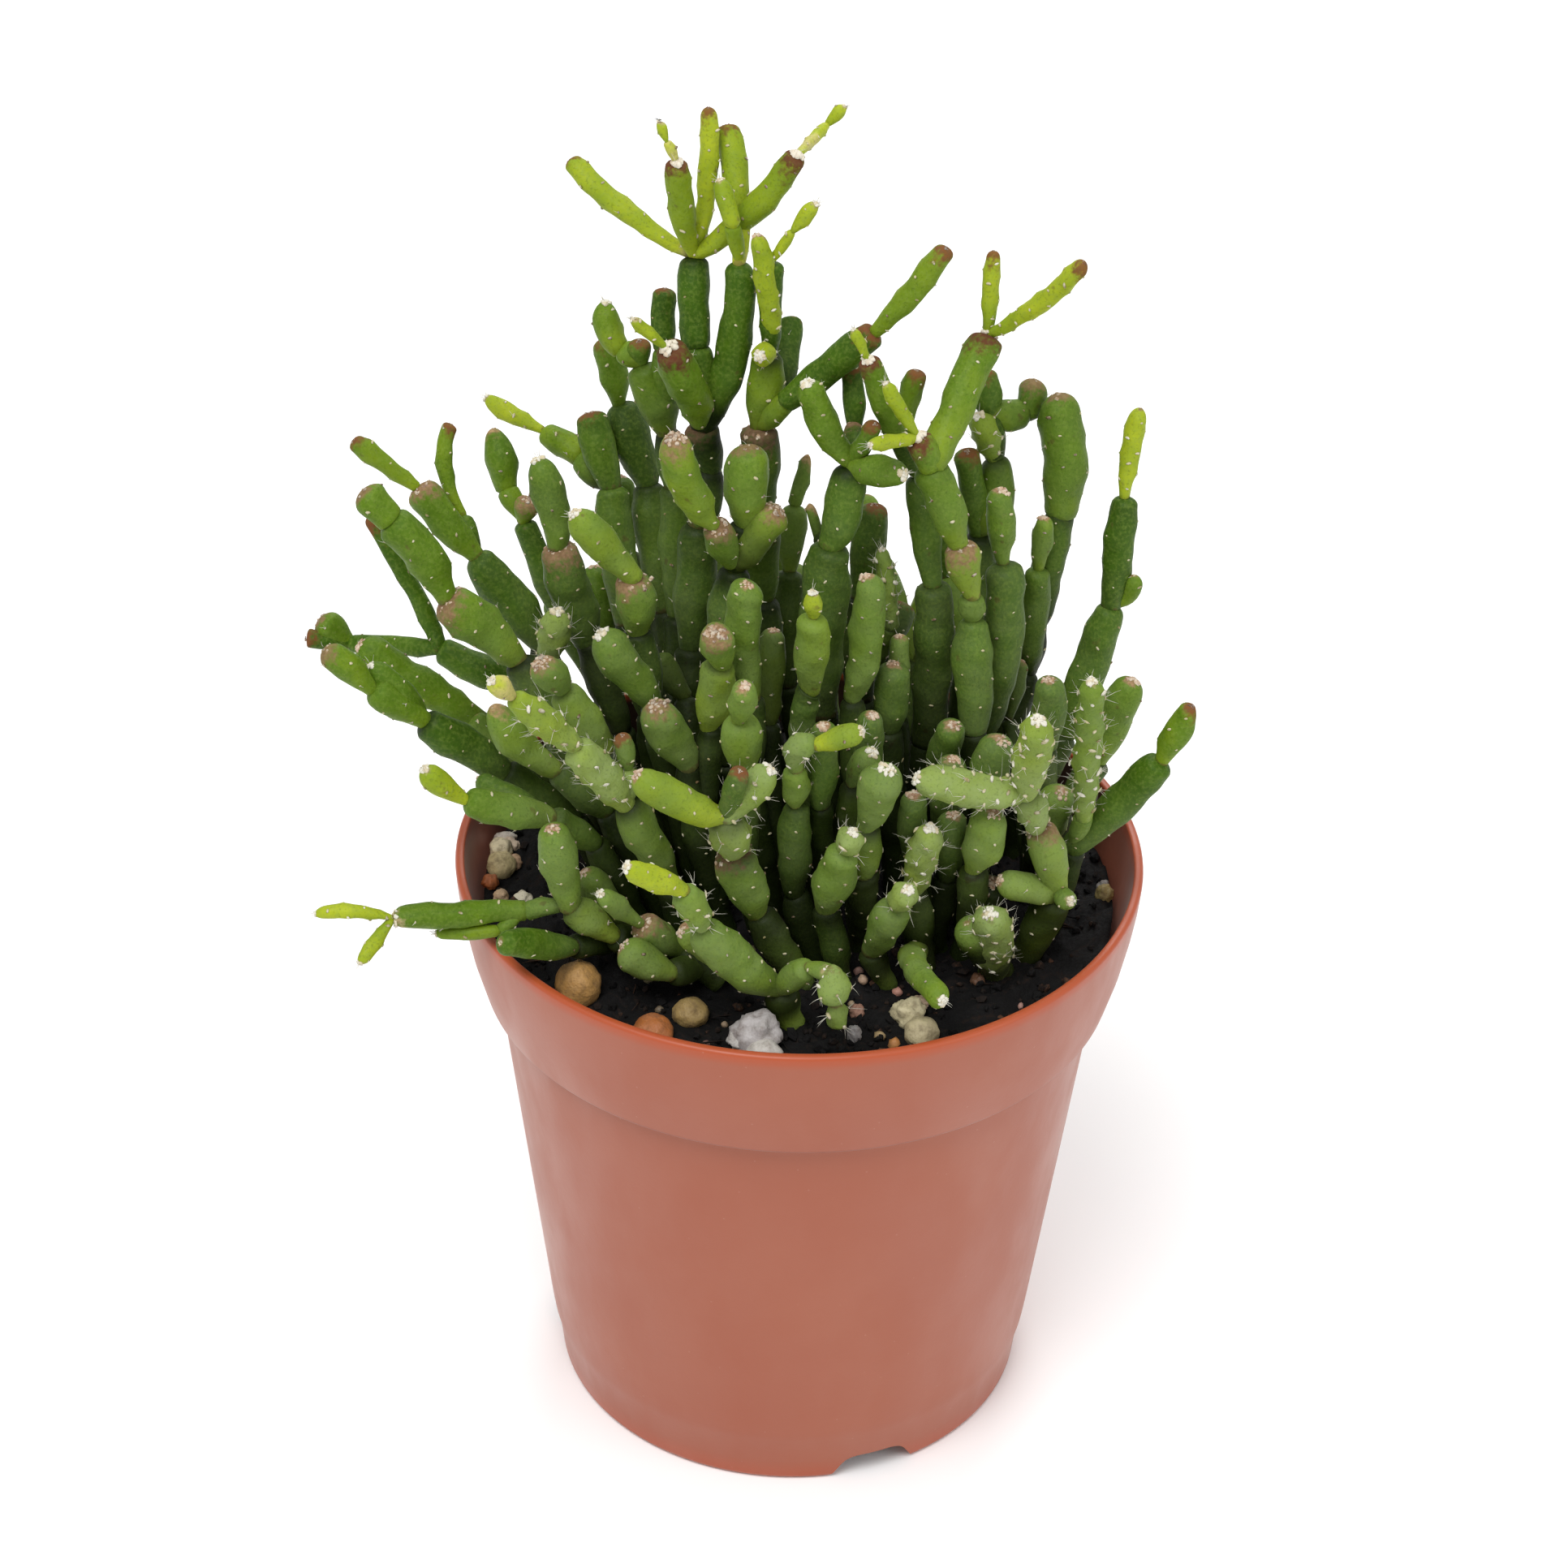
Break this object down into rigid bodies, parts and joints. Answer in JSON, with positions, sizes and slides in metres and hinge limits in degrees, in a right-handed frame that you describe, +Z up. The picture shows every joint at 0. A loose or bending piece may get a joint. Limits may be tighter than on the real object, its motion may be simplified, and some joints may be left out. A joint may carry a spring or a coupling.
{
  "type": "potted mistletoe cactus",
  "caption": "Bushy young mistletoe cactus with jointed, bottle-shaped stem segments, rooted in soil in a round terracotta-coloured plastic nursery pot.",
  "frame": {"origin": "centre of the pot's underside, on the pot's axis", "axes": "+Z up along the pot's axis, -Y to the front of the plant, +X to its right as seen from the front"},
  "size_m": [0.0711, 0.0552, 0.1084],
  "materials": {
    "pot_plastic": "satin",
    "peat": "matte",
    "stem_skin": "satin"
  },
  "bodies": {
    "root": {"pot": "pot_plastic", "soil": "peat", "stem_crown": "stem_skin", "stem_crown_right": "stem_skin", "stem_knob": "stem_skin", "stem_middle": "stem_skin", "stem_scarred": "stem_skin", "stem_upper_left": "stem_skin", "stem_far_left_arm": "stem_skin", "stem_left_shoulder": "stem_skin", "stem_left_cork": "stem_skin", "stem_left_blunt": "stem_skin", "stem_left_fork": "stem_skin", "stem_left_tan": "stem_skin", "stem_left_back": "stem_skin", "stem_left_long": "stem_skin", "stem_left_low": "stem_skin", "stem_left_tapered": "stem_skin", "stem_left_bristly": "stem_skin", "stem_left_scar": "stem_skin", "stem_left_tall": "stem_skin", "stem_left_club": "stem_skin", "stem_left_reach": "stem_skin", "stem_left_hand": "stem_skin", "stem_left_stubs": "stem_skin", "stem_front_left": "stem_skin", "stem_front": "stem_skin", "stem_front_branching": "stem_skin", "stem_front_red_tip": "stem_skin", "stem_front_hook": "stem_skin", "stem_front_round": "stem_skin", "stem_front_bright_tip": "stem_skin", "stem_front_hairy": "stem_skin", "stem_front_lime_tip": "stem_skin", "stem_shade_pair": "stem_skin", "stem_shade_right": "stem_skin", "stem_right_oval": "stem_skin", "stem_right_bulb": "stem_skin", "stem_right_hairy": "stem_skin", "stem_right_low": "stem_skin", "stem_right_stubs": "stem_skin", "stem_far_right": "stem_skin", "stem_right_arch": "stem_skin", "stem_right_column": "stem_skin", "stem_right_crown": "stem_skin", "stem_right_mast": "stem_skin", "stem_right_inner": "stem_skin", "stem_right_centre": "stem_skin", "stem_back_centre": "stem_skin", "stem_right_pink": "stem_skin", "stem_right_pale": "stem_skin", "stem_lime_tip": "stem_skin", "stem_back_twig": "stem_skin", "stem_back_right": "stem_skin", "stem_back_mid_right": "stem_skin", "stem_back_middle": "stem_skin", "stem_back_mid_left": "stem_skin", "stem_back_left": "stem_skin", "stem_back_far_left": "stem_skin"}
  },
  "joints": []
}
